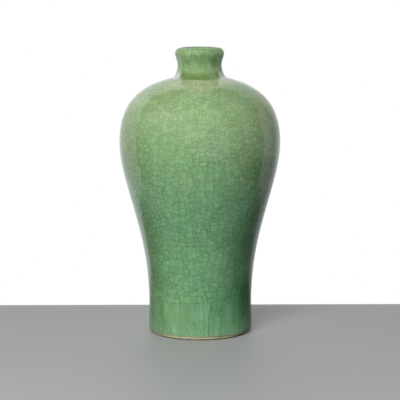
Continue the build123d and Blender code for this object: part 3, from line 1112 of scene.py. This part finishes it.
def stoneware_clay():
    """Bare buff clay, toasted brown in patches, with dark specks and a gritty surface."""
    finish, tree, shader, point, height = new_finish("stoneware_clay")
    tint = blend(tree, fade(tree, noise(tree, point, 240, 4, 0.6), 0.3, 0.7), BUFF, SLIP_CREAM)
    burn = fade(tree, noise(tree, point, 60, 3, 0.6), 0.54, 0.68, 0, 0.5)
    flash = height_fade(tree, height, 2.0, 4.2, 0, 0.2)
    speck = fade(tree, noise(tree, point, 1500, 1), 0.68, 0.74, 0, 0.7)
    standing_edge = height_fade(tree, height, 0.5, 0.0, 0, 0.45)
    for share in (sums(tree, "MAXIMUM", burn, flash), standing_edge, speck):
        tint = blend(tree, share, tint, TOAST)
    tree.links.new(tint, shader.inputs["Base Color"])
    tree.links.new(fade(tree, speck, 0, 0.7, 0.78, 0.55), shader.inputs["Roughness"])
    grit = noise(tree, point, 1300, 3, 0.6)
    roughened(tree, shader, [(grit, 0.12 * MM), (noise(tree, point, 260), 0.1 * MM)])
    return finish


def luting_slip():
    """Pale matt slip, brushed round the joint."""
    finish, tree, shader, point, _ = new_finish("luting_slip")
    brush = noise(tree, stretched(tree, point, 120, 900), 1, 3)
    tint = blend(tree, fade(tree, brush, 0.3, 0.7), SLIP_CREAM, BUFF)
    tree.links.new(tint, shader.inputs["Base Color"])
    tree.links.new(fade(tree, brush, 0.3, 0.7, 0.8, 0.9), shader.inputs["Roughness"])
    roughened(tree, shader, [(brush, 0.1 * MM)])
    return finish


# Pieces

clay = stoneware_clay()
slip = luting_slip()
coat = make_crackle_coat()
coat.data.materials.append(crackle_glaze())

turning = turned_tree()
lower_body = turned_piece(
    turning, "thrown_lower_body", lower_body_profile()[::-1], clay,
    segments=160, seed=3, ring_spacing=7 * MM, ring_depth=0.12 * MM, unevenness=0.1 * MM,
)
lining = turned_piece(
    turning, "poured_lining", joined(inside(0, COAT, 3 * MM), inside(LINING, 0, 3 * MM)[::-1]),
    poured_glaze("lining_glaze", thinness=0.35, crackle_scale=170),
    segments=128, seed=5, ring_spacing=9 * MM, ring_depth=0.1 * MM, unevenness=0.1 * MM,
)
wash_top = recess(0, BASE_COAT_EDGE, 2 * MM)
wash_face = recess(BASE_COAT, BASE_COAT_EDGE, 2 * MM)[::-1]
wash_drip = np.array([[recess_radius - BASE_COAT / 2, BASE_COAT_EDGE - BASE_COAT_DRIP]])
wash = turned_piece(
    turning, "recess_wash", np.concatenate([wash_top, wash_face, wash_drip, wash_top[:1]]),
    poured_glaze("recess_glaze", thinness=0.6, crackle_scale=190),
    segments=128, seed=7, ring_spacing=6 * MM, ring_depth=0.05 * MM, unevenness=0.05 * MM,
)

for piece, cad_node, slot in (
    (coat, "outer_glaze", "crackle_glaze"),
    (lower_body, "lower_body", "stoneware_clay"),
    (lining, "inner_glaze", "lining_glaze"),
    (wash, "base_glaze", "recess_glaze"),
):
    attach(piece, "root")
    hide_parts(cad_node)

for cad_node, finish in (
    ("shoulder_body", clay), ("neck", clay), ("body_luting", slip), ("neck_luting", slip),
):
    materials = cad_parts[cad_node].data.materials
    materials.clear()
    materials.append(finish)


# Studio

# Floor: its colour to the camera and in reflections, its colour to other light, and the glow that keeps
# it even. It is flat to FLOOR_ROLL_START behind the axis, rolls down, and ends between the two rims.
FLOOR_PALE = colour(0.28, 0.29, 0.285)
FLOOR_DIM = colour(0.03, 0.03, 0.03)
FLOOR_GLOW = 0.11
FLOOR_ROUGHNESS = 0.6
FLOOR_HALF = 0.6
FLOOR_ROLL_START = 0.079
FLOOR_ROLL_RADIUS = 0.3
FLOOR_RIMS = (0.328, 0.346)

# Backdrop in reflections: the angles in degrees over which its sides and its top end, the angles over
# which it changes sideways and by how much, and those over which its right half dims low down
BACKDROP_SIDES = (77, 75.5)
BACKDROP_TOP = (54, 50)
BACKDROP_SHADES = [(4, 16, 0.84), (30, 46, 0.73), (50, 63, 1.5), (-20, -60, 0.95)]
BACKDROP_LOW = (-8, -14, 0.7)
BACKDROP_LOW_END = (0, -20)
ROOM_DIM = 0.03

# Soft light: it fades in towards straight back and towards the backdrop's bend, by the cosines of the
# angles to them. The bend lies so many degrees to the right, and a dim light comes from all round.
BACKDROP_LIGHT = (0.6, 0.8)
BACKDROP_BEND = 44
BACKDROP_BEND_LIGHT = (0.75, 0.9)
SOFT_LIGHT = 0.01

# Lamp: its place and width in metres and its power in watts
KEY_PLACE = (-0.339, -1.074, 0.775)
KEY_WIDTH = 0.6
KEY_POWER = 17.8

# Camera: sensor and lens in millimetres, place in metres, tilt and roll in degrees
SENSOR_WIDTH = 36.0
LENS = 152.85
CAMERA_PLACE = (0, -1.4768, 0.3274)
CAMERA_TILT = 81.862
CAMERA_ROLL = -0.16


def make_floor():
    """A plain pale floor that rolls down behind the vase and fades out towards its rim."""
    mesh = bpy.data.meshes.new("floor")
    run = [(y, 0) for y in np.linspace(-FLOOR_HALF, FLOOR_ROLL_START, 24)]
    for bend in np.radians(np.linspace(2, 90, 45)):
        back = FLOOR_ROLL_START + FLOOR_ROLL_RADIUS * math.sin(bend)
        run.append((back, FLOOR_ROLL_RADIUS * (math.cos(bend) - 1)))
    run.append((FLOOR_ROLL_START + FLOOR_ROLL_RADIUS, -FLOOR_HALF))
    corners = [(x, y, z) for y, z in run for x in (-FLOOR_HALF, FLOOR_HALF)]
    mesh.from_pydata(corners, [], [(i, i + 1, i + 3, i + 2) for i in range(0, len(corners) - 2, 2)])
    mesh.shade_smooth()
    floor = placed("floor", mesh)
    finish, tree, shader, point, _ = new_finish("studio_floor")
    path = node(tree, "ShaderNodeLightPath").outputs
    mirrored = sums(tree, "MAXIMUM", path["Is Glossy Ray"], path["Is Transmission Ray"])
    seen = sums(tree, "MAXIMUM", path["Is Camera Ray"], mirrored)
    tree.links.new(blend(tree, seen, FLOOR_DIM, FLOOR_PALE), shader.inputs["Base Color"])
    shader.inputs["Roughness"].default_value = FLOOR_ROUGHNESS
    shader.inputs["Emission Color"].default_value = colour(1, 1, 1)
    tree.links.new(product(tree, seen, FLOOR_GLOW), shader.inputs["Emission Strength"])
    ending = fade(tree, measured(tree, "LENGTH", point), *FLOOR_RIMS)
    clear = node(tree, "ShaderNodeBsdfTransparent").outputs[0]
    mixed = node(tree, "ShaderNodeMixShader", {0: ending, 1: shader.outputs[0], 2: clear}).outputs[0]
    tree.links.new(mixed, tree.nodes["Material Output"].inputs["Surface"])
    mesh.materials.append(finish)


def make_world():
    """White to the camera, a white backdrop that bends forward on the right, and dim soft light."""
    world = bpy.data.worlds.new("studio")
    bpy.context.scene.world = world
    world.use_nodes = True
    tree = world.node_tree
    path = node(tree, "ShaderNodeLightPath").outputs
    way = node(tree, "ShaderNodeTexCoord").outputs["Generated"]
    axes = node(tree, "ShaderNodeSeparateXYZ", {0: way}).outputs

    # What reflections see, by the angle to the right of straight back and the angle upwards
    aside = sums(tree, "DEGREES", sums(tree, "ARCTAN2", axes["X"], axes["Y"]))
    upward = sums(tree, "DEGREES", sums(tree, "ARCTAN2", axes["Z"], axes["Y"]))
    rise = sums(tree, "DEGREES", sums(tree, "ARCSINE", axes["Z"]))
    beside = fade(tree, sums(tree, "ABSOLUTE", aside), *BACKDROP_SIDES)
    backdrop = product(tree, beside, fade(tree, upward, *BACKDROP_TOP))
    for start, end, share in BACKDROP_SHADES:
        backdrop = product(tree, backdrop, fade(tree, aside, start, end, 1, share))
    start, end, share = BACKDROP_LOW
    low = sums(tree, "MAXIMUM", fade(tree, rise, start, end, 1, share), fade(tree, aside, *BACKDROP_LOW_END))
    mirrored = sums(tree, "MAXIMUM", product(tree, backdrop, low), ROOM_DIM)

    # What lights the vase, and white for the camera
    behind = fade(tree, axes["Y"], *BACKDROP_LIGHT, SOFT_LIGHT, 1)
    bend = math.radians(BACKDROP_BEND)
    towards_bend = measured(tree, "DOT_PRODUCT", way, (math.sin(bend), math.cos(bend), 0))
    soft = sums(tree, "MAXIMUM", behind, fade(tree, towards_bend, *BACKDROP_BEND_LIGHT))
    glossy = sums(tree, "MAXIMUM", path["Is Glossy Ray"], path["Is Transmission Ray"])
    level = choice(tree, path["Is Camera Ray"], choice(tree, glossy, soft, mirrored), 1.0)
    background = tree.nodes["Background"]
    background.inputs["Color"].default_value = colour(1, 1, 1)
    tree.links.new(level, background.inputs["Strength"])


def make_lamp():
    """A soft square lamp that faces the vase."""
    light = bpy.data.lights.new("key", "AREA")
    light.size = KEY_WIDTH
    light.energy = KEY_POWER
    lamp = placed("key", light)
    lamp.location = KEY_PLACE
    lamp.rotation_euler = (Vector((0, 0, HEIGHT / 2)) - lamp.location).to_track_quat("-Z", "Y").to_euler()
    lamp.visible_glossy = False


def make_camera():
    """The camera, a little above the mouth and far off, as the photograph was taken."""
    camera = bpy.data.cameras.new("camera")
    camera.sensor_width = SENSOR_WIDTH
    camera.lens = LENS
    holder = placed("camera", camera)
    holder.location = CAMERA_PLACE
    tilt = Matrix.Rotation(math.radians(CAMERA_TILT), 3, "X")
    roll = Matrix.Rotation(math.radians(CAMERA_ROLL), 3, "Z")
    holder.rotation_euler = (tilt @ roll).to_euler()
    bpy.context.scene.camera = holder


make_floor()
make_world()
make_lamp()
make_camera()
bpy.context.scene.view_settings.view_transform = "Standard"
